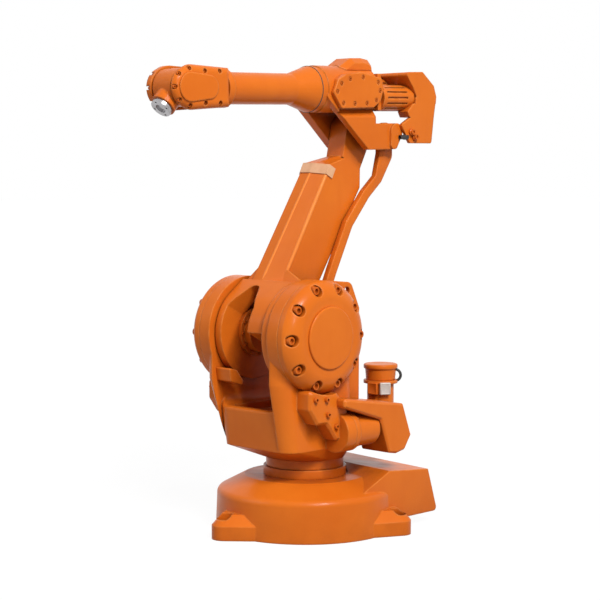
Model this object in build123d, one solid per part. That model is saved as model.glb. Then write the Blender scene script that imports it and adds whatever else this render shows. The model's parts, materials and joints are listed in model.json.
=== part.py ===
from build123d import *
import os

# A six-axis floor-standing industrial robot arm with a parallel linkage.
# The frame has +Z up, +X to the front of the foot, and its origin on the turning axis, at floor level.

# Rest pose, in degrees: turret turn, lower arm lean, upper arm pitch and wrist tilt
turn_rest = 7.0
lean_rest = -27.7
pitch_rest = 1.7
tilt_rest = 47.0

# Clearances
running_gap = 0.3
clear_gap = 5.0
overrun = 20.0

# Axes of the arm
shoulder_x = 100.0
shoulder_z = 615.0
lower_arm_length = 705.0
tube_rise = 135.0
wrist_reach = 755.0
flange_reach = 85.0
crank_length = 98.0

# Foot casting
foot_rim_radius = 275.0
foot_flare = 5.0
foot_wall_height = 124.0
foot_rim_round = 22.0
foot_top_height = 168.0
foot_top_radius = 190.0
foot_count = 3
foot_bolt_radius = 310.0
foot_bolt_hole = 9.0
foot_lug_radius = 40.0
foot_lug_root = 170.0
foot_lug_height = 43.0
foot_lug_ramp = 32.0
foot_ramp_inset = 28.0
foot_seat_radius = 24.0
foot_seat_depth = 4.0
foot_edge_round = 6.0
cable_box_back_top = 332.0
cable_box_back_foot = 378.0
cable_box_half_width = 205.0
cable_box_bottom = 35.0
cable_box_drop = 16.0
cable_box_inner_x = -150.0
cable_box_rise = 22.0
cable_box_round = 12.0
ring_radius = 130.0
ring_height = 28.0

# Turret casting
neck_radius = 122.0
neck_height = 28.0
neck_flare = 45.0
waist_front_x = 220.0
waist_far_y = -150.0
waist_near_y = 150.0
waist_round = 45.0
turret_back_x = -80.0
turret_front_x = 240.0
turret_top_z = 475.0
turret_round = 85.0
yoke_mid_y = -21.5
yoke_half_gap = 126.5
cheek_thickness = 45.0
cheek_root_back_x = -45.0
cheek_front_limit_x = 262.0
cheek_corner_round = 60.0
gap_floor_z = 392.0
gap_round = 35.0
gap_lip_round = 10.0
pocket_depth = 25.0
pocket_lip = 32.0
pocket_round = 20.0
stop_outline = ((238.0, 470.0), (190.0, 455.0), (186.0, 468.0), (214.0, 503.0), (244.0, 512.0))
stop_reach = 64.0
stop_round = 4.0
boss_radius = 172.0
lifting_eye_x = -62.0
lifting_eye_z = 746.0
lifting_eye_radius = 27.0
lifting_hole_radius = 12.0
wing_back_x = -118.0
wing_bottom_z = 380.0
wing_top_z = 690.0
wing_thickness = 16.0
gear_case_corners = (
    (187.0, 460.0), (187.0, 402.0), (152.0, 354.0), (112.0, 354.0),
    (70.0, 300.0), (20.0, 300.0), (20.0, 400.0), (80.0, 460.0),
)
gear_case_round = 12.0
gear_case_depth = 55.0
gear_case_edge = 8.0

# Gear housings on the turret cheeks
housing_rim = 20.0
housing_dome = 35.0
housing_flat_radius = 112.0
housing_bulge_share = 0.32
housing_pocket_circle = 150.0
housing_pocket_radius = 18.0
housing_pocket_height = 28.0
housing_pocket_count = 10
gear_cover_radius = 95.0
gear_cover_thickness = 7.0
gear_cover_round = 4.0

# Motors beside the turret
motor_outer_reach = 32.0
motor_z = 322.0
motor_front_x = 20.0
motor_seat_depth = 40.0
motor_back_x = -94.0
motor_radius = 52.0
motor_flange_radius = 62.0
motor_flange_thickness = 18.0
motor_cover_half_width = 58.0
motor_cover_outline = (
    (72.0, 404.0), (72.0, 431.0), (-197.0, 392.0), (-236.0, 290.0), (-206.0, 246.0),
    (-166.0, 238.0), (-133.0, 243.0), (-92.0, 352.0),
)
motor_cover_round = 9.0
motor_cover_edge = 6.0

# Turning motor behind the turret
turning_motor_x = -288.0
turning_motor_y = 60.0
turning_motor_radius = 43.0
turning_motor_foot_z = 300.0
turning_motor_height = 134.0
turning_flange_height = 10.0
turning_cap_radius = 55.0
turning_cap_height = 52.0
turning_cap_lip = 16.0
turning_cap_waist = 47.0
turning_cap_round = 5.0
turning_shelf_thickness = 38.0
turning_shelf_far_y = -60.0
turning_shelf_near_y = 84.0

# Lower arm casting and its linkage, side by side in the yoke
near_leg_thickness = 24.0
far_leg_thickness = 26.0
crank_thickness = 23.0
rod_thickness = 20.0
rod_side_gap = 4.0
near_leg_radius = 164.0
far_leg_radius = 150.0
arm_root_z = 130.0
arm_root_far_y = -112.0
arm_root_back_x = -48.0
arm_root_front_x = 105.0
arm_root_edge_x = 90.0
arm_root_crease_y = -58.0
arm_top_drop = 155.0
arm_top_far_y = -97.0
arm_top_back_x = -82.0
arm_top_front_x = 84.0
arm_top_edge_x = 74.0
arm_top_crease_y = -42.0
arm_corner = 14.0
arm_neck_drop = 100.0
arm_neck_back_x = -58.0
arm_neck_front_x = 30.0
bridge_back_x = 72.0
bridge_top_z = 176.0
bridge_side_z = 140.0
flank_top_z = 300.0
flank_bottom_z = 70.0
flank_front_x = 62.0
arch_top_z = 106.0
arch_top_y = -60.0
arch_top_radius = 26.0
arch_foot_z = 20.0
arch_near_y = 0.0
drive_hub_radius = 65.0
drive_hub_reach = 72.0
hub_ring_radius = 78.0
hub_ring_thickness = 14.0
elbow_eye_radius = 58.0
elbow_eye_width = 72.0
elbow_eye_step = 3.0
band_drop = 36.0
band_height = 34.0
band_thickness = 4.0
band_back_x = 48.0

# Parallel linkage
crank_hub_radius = 58.0
crank_end_radius = 40.0
crank_pin_radius = 18.0
rod_half_width = 16.0
rod_low_eye_radius = 36.0
rod_top_eye_radius = 30.0
rod_wedge_half_width = 30.0
rod_bow_offsets = (12.0, 15.0, -12.0, -40.0, -34.0)
rod_bow_shares = (0.29, 0.52, 0.69, 0.79, 0.91)
rod_pin_radius = 16.0
rod_pin_gap = 1.0

# Upper arm casting
near_cheek_thickness = 23.0
far_cheek_thickness = 33.0
elbow_pin_radius = 28.0
elbow_boss_radius = 58.0
rod_boss_radius = 27.0
rod_boss_shift = 12.0
rod_boss_low_z = -40.0
rod_boss_low_radius = 16.0
rod_boss_stand = 8.0
cheek_tip_round = 10.0
cheek_front_x = 190.0
cheek_front_z = 112.0
cheek_low_x = 12.0
cheek_low_z = -46.0
cheek_ledge_back_x = -19.0
cheek_ledge_low_z = 48.0
cheek_ledge_top_z = 73.0
cheek_ledge_depth = 17.0
body_radius = 74.0
body_back_x = -30.0
body_front_x = 195.0
saddle_bottom_z = 70.0
saddle_back_x = -24.0
saddle_front_x = 150.0
arm_channel_z = 63.0
collar_radius = 71.0
collar_length = 25.0
top_cover_outline = (
    (126.0, 192.0), (52.0, 233.0), (5.0, 234.0), (-28.0, 229.0), (-45.0, 212.0), (-47.0, 192.0),
)
top_cover_half_width = 46.0
top_cover_edge = 16.0
side_cover_back_y = 58.0
side_cover_stand = 14.0
side_cover_corners = (
    (188.0, 122.0), (165.0, 164.0), (130.0, 179.0), (58.0, 186.0),
    (-34.0, 168.0), (-42.0, 134.0), (-28.0, 98.0), (4.0, 77.0), (152.0, 74.0),
)
side_cover_round = 8.0
side_pocket_places = (
    (170.0, 126.0), (151.0, 151.0), (112.0, 165.0), (52.0, 171.0),
    (-18.0, 156.0), (-26.0, 130.0), (-8.0, 100.0), (36.0, 90.0), (92.0, 89.0), (144.0, 90.0),
)
side_pocket_radius = 7.0
side_pocket_depth = 5.0

# Motors at the back of the upper arm
back_plate_thickness = 16.0
back_plate_half_width = 72.0
back_plate_bottom_z = 68.0
back_plate_top_z = 184.0
back_cover_half_width = 92.0
back_motor_radius = 42.0
back_motor_spread = 45.0
back_motor_near_z = 108.0
back_motor_far_z = 140.0
back_motor_back_x = -190.0
back_fin_count = 14
back_fin_groove = 5.0
back_fin_front_x = -62.0
back_fin_back_x = -160.0
back_cover_outline = (
    (-186.0, 84.0), (-196.0, 112.0), (-178.0, 142.0), (-142.0, 190.0),
    (-226.0, 192.0), (-282.0, 147.0), (-294.0, 112.0), (-290.0, 84.0),
)
back_foot_outline = (
    (-190.0, 112.0), (-194.0, 60.0), (-118.0, 22.0), (-160.0, -38.0),
    (-266.0, -40.0), (-280.0, 46.0), (-294.0, 112.0),
)
back_tray_outline = ((-150.0, 64.0), (-160.0, 46.0), (-272.0, 40.0), (-288.0, 90.0), (-180.0, 90.0))
back_foot_thickness = 11.0
back_cover_round = 9.0

# Forearm and wrist
cone_length = 80.0
tube_radius = 47.5
wrist_run = 159.0
wrist_collar_radius = 58.0
wrist_collar_length = 24.0
wrist_radius = 65.0
wrist_tip_radius = 58.0
wrist_belly_run = 16.0
wrist_root_half_height = 57.0
wrist_half_width = 63.0
wrist_round = 20.0
wrist_slot_half_width = 44.0
wrist_slot_run = 91.0
wrist_cover_radius = 42.0
wrist_cover_back_radius = 34.0
wrist_cover_run = 72.0
wrist_cover_thickness = 4.0
wrist_pocket_radius = 7.0
wrist_pocket_depth = 14.0
wrist_pocket_circle = 53.0
wrist_pocket_angles = (-90.0, -45.0, 0.0, 45.0, 90.0)
wrist_pocket_runs = (58.0, 116.0)
wrist_pocket_height = 46.0
tilt_radius = 55.0
tilt_half_width = 39.0
tilt_pin_radius = 30.0
nose_radius = 37.0
disc_flange_radius = 31.5
disc_flange_thickness = 12.0
disc_bore_radius = 15.75
disc_bore_depth = 6.0
disc_bolt_circle_radius = 25.0
disc_bolt_radius = 3.0
disc_bolt_count = 4

# Heights and side places that follow from the sizes above
foot_floor_radius = foot_rim_radius + foot_flare
ring_top = foot_top_height + ring_height
neck_top = ring_top + neck_height
waist_z = neck_top + neck_flare
arm_top_z = lower_arm_length - arm_top_drop
arm_neck_z = lower_arm_length - arm_neck_drop
band_z = arm_top_z - band_drop
cheek_face = yoke_half_gap + cheek_thickness
dome_face = cheek_face + housing_rim + housing_dome
motor_distance = cheek_face + motor_outer_reach
yoke_near_y = yoke_mid_y + yoke_half_gap
yoke_far_y = yoke_mid_y - yoke_half_gap
near_leg_outer_y = yoke_near_y - clear_gap
near_leg_inner_y = near_leg_outer_y - near_leg_thickness
far_leg_outer_y = yoke_far_y + clear_gap
far_leg_inner_y = far_leg_outer_y + far_leg_thickness
crank_outer_y = near_leg_inner_y - clear_gap
crank_inner_y = crank_outer_y - crank_thickness
rod_near_y = crank_inner_y - rod_side_gap
rod_far_y = rod_near_y - rod_thickness
arm_near_y = rod_far_y - clear_gap
elbow_eye_near_y = arm_near_y - elbow_eye_step
elbow_eye_far_y = elbow_eye_near_y - elbow_eye_width
near_cheek_inner_y = rod_near_y + clear_gap
near_cheek_outer_y = near_cheek_inner_y + near_cheek_thickness
far_cheek_inner_y = elbow_eye_far_y - clear_gap
far_cheek_outer_y = far_cheek_inner_y - far_cheek_thickness
collar_front_x = body_front_x + collar_length
wrist_root_x = wrist_reach - wrist_run
wrist_slot_x = wrist_reach - wrist_slot_run


def bar_x(radius, x_from, x_to, y=0, z=0):
    """Round bar along X."""
    return Pos((x_from + x_to) / 2, y, z) * Rot(0, 90, 0) * Cylinder(radius, x_to - x_from)


def bar_y(radius, y_from, y_to, x=0, z=0):
    """Round bar along Y."""
    return Pos(x, (y_from + y_to) / 2, z) * Rot(90, 0, 0) * Cylinder(radius, y_to - y_from)


def bar_z(radius, z_from, z_to, x=0, y=0):
    """Round bar along Z."""
    return Pos(x, y, (z_from + z_to) / 2) * Cylinder(radius, z_to - z_from)


def block(x_from, x_to, y_from, y_to, z_from, z_to):
    """Block between two corners."""
    middle = Pos((x_from + x_to) / 2, (y_from + y_to) / 2, (z_from + z_to) / 2)
    return middle * Box(x_to - x_from, y_to - y_from, z_to - z_from)


def plate_y(outline, y_from, y_to):
    """Outline in X and Z, made solid between two places along Y."""
    return extrude(Plane.XZ.offset(-y_to) * outline, amount=y_to - y_from)


def plate_x(outline, x_from, x_to):
    """Outline in Y and Z, made solid between two places along X."""
    return extrude(Plane.YZ.offset(x_from) * outline, amount=x_to - x_from)


def rect_between(u_from, u_to, v_from, v_to):
    """Rectangle between two corners of a drawing plane."""
    return Pos((u_from + u_to) / 2, (v_from + v_to) / 2) * Rectangle(u_to - u_from, v_to - v_from)


def hull(*outlines):
    """Tight outline around several outlines."""
    edges = []
    for outline in outlines:
        edges += outline.edges()
    return make_hull(edges)


def dot(radius, u=0, v=0):
    """Circle at a place of a drawing plane."""
    return Pos(u, v) * Circle(radius)


def rounded_between(u_from, u_to, v_from, v_to, radius, height):
    """Face of a rectangle with round corners at one height."""
    outline = Pos((u_from + u_to) / 2, (v_from + v_to) / 2, height) * RectangleRounded(
        u_to - u_from, v_to - v_from, radius
    )
    return outline.faces()[0]


def polygon(points):
    """Face inside a run of corner points."""
    return make_face(Polyline(*points, close=True))


def between(start, end, share):
    """Value that lies a share of the way from start to end."""
    return start + (end - start) * share


# Places of the moving links
turret_place = Rot(0, 0, turn_rest)
shoulder_place = turret_place * Pos(shoulder_x, 0, shoulder_z)
lower_place = shoulder_place * Rot(0, lean_rest, 0)
crank_place = shoulder_place * Rot(0, pitch_rest, 0)
rod_place = crank_place * Pos(-crank_length, 0, 0) * Rot(0, lean_rest - pitch_rest, 0)
upper_place = lower_place * Pos(0, 0, lower_arm_length) * Rot(0, pitch_rest - lean_rest, 0)
tube_place = upper_place * Pos(0, 0, tube_rise)
tilt_place = tube_place * Pos(wrist_reach, 0, 0) * Rot(0, tilt_rest - pitch_rest, 0)
nodes = {}


def keep(name, solid, place=Location()):
    """Put a finished piece in its place under its own name."""
    nodes[name] = place * solid


def lug_plan(inset):
    """Plan of one lug with its wide root, drawn in by an inset."""
    root = dot(foot_lug_root - inset, foot_floor_radius - foot_lug_root)
    return hull(root, dot(foot_lug_radius - inset, foot_bolt_radius))


def make_foot():
    """Round foot with three lugs and the cable box behind it."""
    outline = polygon((
        (0, 0),
        (foot_floor_radius, 0),
        (foot_rim_radius, foot_wall_height),
        (foot_top_radius, foot_top_height),
        (0, foot_top_height),
    ))
    outline = fillet(outline.vertices().sort_by(Axis.X)[-2], foot_rim_round)
    foot = revolve(Plane.XZ * outline, Axis.Z)
    box_top = foot_top_height + cable_box_rise
    side = polygon((
        (0, cable_box_bottom),
        (-cable_box_back_foot, cable_box_bottom),
        (-cable_box_back_top, box_top - cable_box_drop),
        (cable_box_inner_x, box_top),
        (0, foot_wall_height),
    ))
    plan = hull(
        dot(foot_rim_radius - foot_rim_round),
        rect_between(-cable_box_back_foot, -cable_box_back_top, -cable_box_half_width, cable_box_half_width),
    )
    box = plate_y(side, -foot_rim_radius, foot_rim_radius)
    box &= extrude(plan, amount=box_top)
    box = fillet(box.edges().filter_by(Axis.Y).group_by(Axis.X)[0], cable_box_round)
    foot += box
    lug = extrude(lug_plan(0), amount=foot_lug_height)
    ramp_top = Pos(0, 0, foot_lug_height + foot_lug_ramp) * lug_plan(foot_ramp_inset)
    lug += loft([Pos(0, 0, foot_lug_height) * lug_plan(0), ramp_top], ruled=True)
    for index in range(foot_count):
        foot += Rot(0, 0, index * 360 / foot_count) * lug
    for index in range(foot_count):
        turn = Rot(0, 0, index * 360 / foot_count)
        seat_floor = foot_lug_height - foot_seat_depth
        hole = bar_z(foot_bolt_hole, -overrun, foot_wall_height, foot_bolt_radius)
        seat = bar_z(foot_seat_radius, seat_floor, foot_wall_height, foot_bolt_radius)
        foot -= turn * (hole + seat)
    foot -= bar_z(ring_radius + clear_gap, foot_top_height, box_top + overrun)
    keep("foot_casting", foot)
    keep("neck_ring", bar_z(ring_radius, foot_top_height, ring_top))


def side_plate(outline, side, inner, outer):
    """Outline in X and Z, made solid on one side of the yoke between two distances from its middle."""
    first = yoke_mid_y + side * inner
    last = yoke_mid_y + side * outer
    return plate_y(outline, min(first, last), max(first, last))


def gear_case_outline():
    """Outline of the gear case under each dome, from its ear down to the motor's seat."""
    outline = polygon(gear_case_corners)
    return fillet(outline.vertices(), gear_case_round)


def make_turret():
    """Yoke casting that turns on the foot."""
    low = rounded_between(-neck_radius, neck_radius, -neck_radius, neck_radius,
                          neck_radius - foot_edge_round, neck_top)
    waist = rounded_between(turret_back_x, waist_front_x, waist_far_y, waist_near_y, waist_round, waist_z)
    top = rounded_between(turret_back_x, turret_front_x, yoke_mid_y - cheek_face, yoke_mid_y + cheek_face,
                          turret_round, turret_top_z)
    body = loft([low, waist]) + loft([waist, top])
    body += bar_z(neck_radius, ring_top + running_gap, neck_top)
    gap = rect_between(yoke_far_y, yoke_near_y, gap_floor_z, shoulder_z)
    gap = fillet(gap.vertices().group_by(Axis.Y)[0], gap_round)
    body -= plate_x(gap, turret_back_x - overrun, turret_front_x + overrun)
    lip = body.edges().filter_by_position(Axis.Z, gap_floor_z, turret_top_z - running_gap)
    lip = lip.filter_by_position(Axis.Y, yoke_far_y, yoke_near_y)
    lip = lip.filter_by_position(Axis.X, waist_front_x, turret_front_x)
    body = fillet(lip, gap_lip_round)
    pocket = block(turret_back_x + pocket_lip, turret_front_x - pocket_lip, yoke_far_y + gap_round,
                   yoke_near_y - gap_round, gap_floor_z - pocket_depth, gap_floor_z + overrun)
    body -= fillet(pocket.edges().filter_by(Axis.Z), pocket_round)
    root = rect_between(cheek_root_back_x, cheek_front_limit_x, waist_z, turret_top_z)
    boss = dot(boss_radius, shoulder_x, shoulder_z)
    widest = rounded_between(turret_back_x, cheek_front_limit_x, yoke_mid_y - cheek_face,
                             yoke_mid_y + cheek_face, cheek_corner_round, turret_top_z)
    limit = loft([waist, widest])
    limit += extrude(widest, amount=boss_radius, dir=(0, 0, 1))
    eye = dot(lifting_eye_radius, lifting_eye_x, lifting_eye_z)
    wing = hull(boss, eye, rect_between(wing_back_x, turret_back_x, wing_bottom_z, wing_top_z))
    wing -= dot(lifting_hole_radius, lifting_eye_x, lifting_eye_z)
    for side in (1, -1):
        body += side_plate(hull(boss, root), side, yoke_half_gap, cheek_face) & limit
        body += side_plate(boss, side, yoke_half_gap, cheek_face)
        body += side_plate(wing, side, yoke_half_gap, yoke_half_gap + wing_thickness)
        case = side_plate(gear_case_outline(), side, yoke_half_gap, cheek_face + gear_case_depth)
        outer = case.faces().sort_by(Axis.Y)[-1 if side == 1 else 0]
        case = chamfer(outer.edges(), gear_case_edge)
        body += case - side_plate(dot(boss_radius + running_gap, shoulder_x, shoulder_z), side,
                                  cheek_face, dome_face + overrun)
        motor_y = yoke_mid_y + side * motor_distance
        body += bar_x(motor_flange_radius, motor_front_x, motor_front_x + motor_seat_depth, motor_y, motor_z)
        body -= bar_x(motor_flange_radius + clear_gap, motor_back_x, motor_front_x, motor_y, motor_z)
    shelf_root = rect_between(turret_back_x, 0, turning_shelf_far_y, turning_shelf_near_y)
    shelf = hull(dot(turning_cap_radius, turning_motor_x, turning_motor_y), shelf_root)
    shelf_bottom_z = turning_motor_foot_z - turning_shelf_thickness
    body += Pos(0, 0, shelf_bottom_z) * extrude(shelf, amount=turning_shelf_thickness)
    keep("turret_casting", body, turret_place)
    stop = polygon(stop_outline)
    stop = fillet(stop.vertices(), stop_round)
    keep("arm_stop", plate_y(stop, yoke_far_y, yoke_far_y + stop_reach) - body, turret_place)
    return body


def make_gear_housings():
    """Domed gear housings with bolt pockets, one on each cheek."""
    rim_face = cheek_face + housing_rim
    bulge = (between(boss_radius, housing_flat_radius, housing_bulge_share),
             between(dome_face, rim_face, housing_bulge_share))
    edge = Polyline((housing_flat_radius, dome_face), (0, dome_face), (0, cheek_face),
                    (boss_radius, cheek_face), (boss_radius, rim_face))
    edge += ThreePointArc((boss_radius, rim_face), bulge, (housing_flat_radius, dome_face))
    dome = revolve(make_face(edge), Axis.Y)
    pocket = bar_y(housing_pocket_radius, cheek_face + housing_pocket_height, dome_face + overrun,
                   housing_pocket_circle)
    for index in range(housing_pocket_count):
        dome -= Rot(0, index * 360 / housing_pocket_count, 0) * pocket
    cover = bar_y(gear_cover_radius, dome_face, dome_face + gear_cover_thickness)
    cover = fillet(cover.edges().group_by(Axis.Y)[-1], gear_cover_round)
    place = shoulder_place * Pos(0, yoke_mid_y, 0)
    keep("left_gear_housing", dome, place)
    keep("left_gear_cover", cover, place)
    keep("right_gear_housing", mirror(dome, Plane.XZ), place)
    keep("right_gear_cover", mirror(cover, Plane.XZ), place)


def make_turret_motors(turret):
    """Two motors beside the turret and the turning motor behind it."""
    hood = polygon(motor_cover_outline)
    hood = fillet(hood.vertices(), motor_cover_round)
    for name, side in (("left", 1), ("right", -1)):
        motor_y = yoke_mid_y + side * motor_distance
        flange_back = motor_front_x - motor_flange_thickness
        body = bar_x(motor_flange_radius, flange_back, motor_front_x, motor_y, motor_z)
        body += bar_x(motor_radius, motor_back_x, flange_back, motor_y, motor_z)
        keep(name + "_motor", body, turret_place)
        cover = plate_y(hood, motor_y - motor_cover_half_width, motor_y + motor_cover_half_width)
        for face in (cover.faces().sort_by(Axis.Y)[0], cover.faces().sort_by(Axis.Y)[-1]):
            cover = chamfer(cover.edges() & face.edges(), motor_cover_edge)
        inner_y = yoke_mid_y - side * cheek_face
        outer_y = yoke_mid_y + side * cheek_face
        cover -= block(turret_back_x - clear_gap, shoulder_x, min(inner_y, outer_y), max(inner_y, outer_y),
                       0, shoulder_z)
        cover -= body
        cover -= turret
        keep(name + "_motor_cover", cover, turret_place)
    flange_z = turning_motor_foot_z + turning_motor_height
    can = bar_z(turning_motor_radius, turning_motor_foot_z, flange_z, turning_motor_x, turning_motor_y)
    cap_z = flange_z + turning_flange_height
    can += bar_z(turning_cap_radius, flange_z, cap_z, turning_motor_x, turning_motor_y)
    keep("turning_motor", can, turret_place)
    lip_z = cap_z + turning_cap_height - turning_cap_lip
    cap = bar_z(turning_cap_radius, lip_z, cap_z + turning_cap_height)
    cap = fillet(cap.edges().group_by(Axis.Z)[-1] + cap.edges().group_by(Axis.Z)[0], turning_cap_round)
    waist = polygon((
        (0, cap_z),
        (turning_cap_waist, cap_z),
        (turning_cap_radius - turning_cap_round, lip_z),
        (0, lip_z),
    ))
    cap += revolve(Plane.XZ * waist, Axis.Z)
    keep("turning_motor_cap", Pos(turning_motor_x, turning_motor_y, 0) * cap, turret_place)


def arm_section(share):
    """Section of the lower arm's box a share of the way up, with a sloped near front face."""
    back = between(arm_root_back_x, arm_top_back_x, share)
    far = between(arm_root_far_y, arm_top_far_y, share)
    front = between(arm_root_front_x, arm_top_front_x, share)
    edge = between(arm_root_edge_x, arm_top_edge_x, share)
    crease = between(arm_root_crease_y, arm_top_crease_y, share)
    outline = polygon((
        (back, far),
        (front - arm_corner, far),
        (front, far + arm_corner),
        (front, crease),
        (edge, arm_near_y),
        (back, arm_near_y),
    ))
    return Pos(0, 0, between(arm_root_z, arm_top_z, share)) * outline


def make_lower_arm():
    """Forked lower arm casting, its drive hub and the pale band round its top."""
    top = arm_section(1)
    arm = loft([arm_section(0), top])
    neck_outline = polygon((
        (arm_neck_back_x, elbow_eye_far_y),
        (arm_neck_front_x - arm_corner, elbow_eye_far_y),
        (arm_neck_front_x, elbow_eye_far_y + arm_corner),
        (arm_neck_front_x, elbow_eye_near_y - arm_corner),
        (arm_neck_front_x - arm_corner, elbow_eye_near_y),
        (arm_neck_back_x, elbow_eye_near_y),
    ))
    arm += loft([top, Pos(0, 0, arm_neck_z) * neck_outline])
    far_leg = hull(dot(far_leg_radius), rect_between(arm_root_back_x, arm_root_front_x, 0, arm_root_z))
    arm += plate_y(far_leg, far_leg_outer_y, far_leg_inner_y)
    near_leg = hull(dot(near_leg_radius), rect_between(bridge_back_x, arm_root_front_x, 0, arm_root_z))
    arm += plate_y(near_leg, near_leg_inner_y, near_leg_outer_y)
    apron = far_leg & rect_between(bridge_back_x, far_leg_radius, -far_leg_radius, far_leg_radius)
    arm += plate_y(apron, far_leg_inner_y, near_leg_inner_y)
    flank_share = (flank_top_z - arm_root_z) / (arm_top_z - arm_root_z)
    flank_far_y = between(arm_root_far_y, arm_top_far_y, flank_share)
    flank = polygon((
        (far_leg_outer_y, flank_bottom_z),
        (far_leg_outer_y, arm_root_z),
        (flank_far_y, flank_top_z),
        (flank_far_y + arm_corner, flank_top_z),
        (arm_root_far_y + arm_corner, arm_root_z),
        (far_leg_inner_y, flank_bottom_z),
    ))
    arm += plate_x(flank, arm_root_back_x, flank_front_x)
    bridge = polygon((
        (far_leg_outer_y, 0),
        (near_leg_outer_y, 0),
        (near_leg_outer_y, bridge_side_z),
        (arm_near_y, bridge_top_z),
        (arm_root_far_y, bridge_top_z),
        (far_leg_outer_y, arm_root_z),
    ))
    arm += plate_x(bridge, bridge_back_x, arm_root_edge_x)
    arch = hull(dot(arch_top_radius, arch_top_y, arch_top_z - arch_top_radius),
                rect_between(far_leg_inner_y, arch_near_y, -near_leg_radius, arch_foot_z))
    arch += rect_between(far_leg_inner_y, near_leg_inner_y, -near_leg_radius, -crank_hub_radius)
    arm -= plate_x(arch, bridge_back_x - overrun, near_leg_radius + overrun)
    arm -= bar_y(drive_hub_radius + running_gap, far_leg_outer_y - overrun, far_leg_inner_y + overrun)
    arm -= bar_y(hub_ring_radius + running_gap, far_leg_inner_y, far_leg_inner_y + hub_ring_thickness)
    arm -= bar_y(crank_hub_radius + running_gap, near_leg_inner_y - overrun, near_leg_outer_y + overrun)
    eye = hull(dot(elbow_eye_radius, 0, lower_arm_length),
               rect_between(arm_neck_back_x, arm_neck_front_x, arm_neck_z - clear_gap, arm_neck_z))
    arm += plate_y(eye, elbow_eye_far_y, elbow_eye_near_y)
    arm -= bar_y(elbow_pin_radius + running_gap, elbow_eye_far_y - overrun, elbow_eye_near_y + overrun,
                 0, lower_arm_length)
    keep("lower_arm_casting", arm, lower_place)
    hub = bar_y(drive_hub_radius, yoke_far_y + running_gap, yoke_far_y + drive_hub_reach)
    hub += bar_y(hub_ring_radius, far_leg_inner_y, far_leg_inner_y + hub_ring_thickness)
    keep("arm_drive_hub", hub, lower_place)
    middle = (band_z + band_height / 2 - arm_root_z) / (arm_top_z - arm_root_z)
    outline = offset(arm_section(middle), band_thickness, kind=Kind.INTERSECTION)
    band = Pos(0, 0, -band_height / 2) * extrude(outline, amount=band_height)
    band -= arm
    band -= block(-far_leg_radius, band_back_x, far_leg_outer_y, near_leg_outer_y,
                  band_z - overrun, band_z + band_height + overrun)
    keep("lower_arm_band", band, lower_place)


def make_linkage():
    """Crank and bowed rod that hold the upper arm's pitch."""
    crank = bar_y(crank_hub_radius, crank_inner_y, yoke_near_y - running_gap)
    arm = hull(dot(crank_hub_radius), dot(crank_end_radius, -crank_length, 0))
    crank += plate_y(arm, crank_inner_y, crank_outer_y)
    keep("parallel_crank", crank, crank_place)
    keep("crank_pin", bar_y(crank_pin_radius, rod_far_y, crank_inner_y, -crank_length), crank_place)
    path = [(0, 0)]
    for bow, share in zip(rod_bow_offsets, rod_bow_shares):
        path.append((bow, share * lower_arm_length))
    rod = bar_y(rod_low_eye_radius, rod_far_y, rod_near_y)
    for start, end in zip(path, path[1:]):
        run = hull(dot(rod_half_width, *start), dot(rod_half_width, *end))
        rod += plate_y(run, rod_far_y, rod_near_y)
    wedge = hull(dot(rod_half_width, *path[-2]), dot(rod_wedge_half_width, *path[-1]))
    rod += plate_y(wedge, rod_far_y, rod_near_y)
    head = hull(dot(rod_wedge_half_width, *path[-1]), dot(rod_top_eye_radius, 0, lower_arm_length))
    rod += plate_y(head, rod_far_y, rod_near_y)
    rod -= bar_y(crank_pin_radius + running_gap, rod_far_y - overrun, rod_near_y + overrun)
    rod -= bar_y(rod_pin_radius + rod_pin_gap, rod_far_y - overrun, rod_near_y + overrun,
                 0, lower_arm_length)
    keep("parallel_rod", rod, rod_place)


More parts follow.
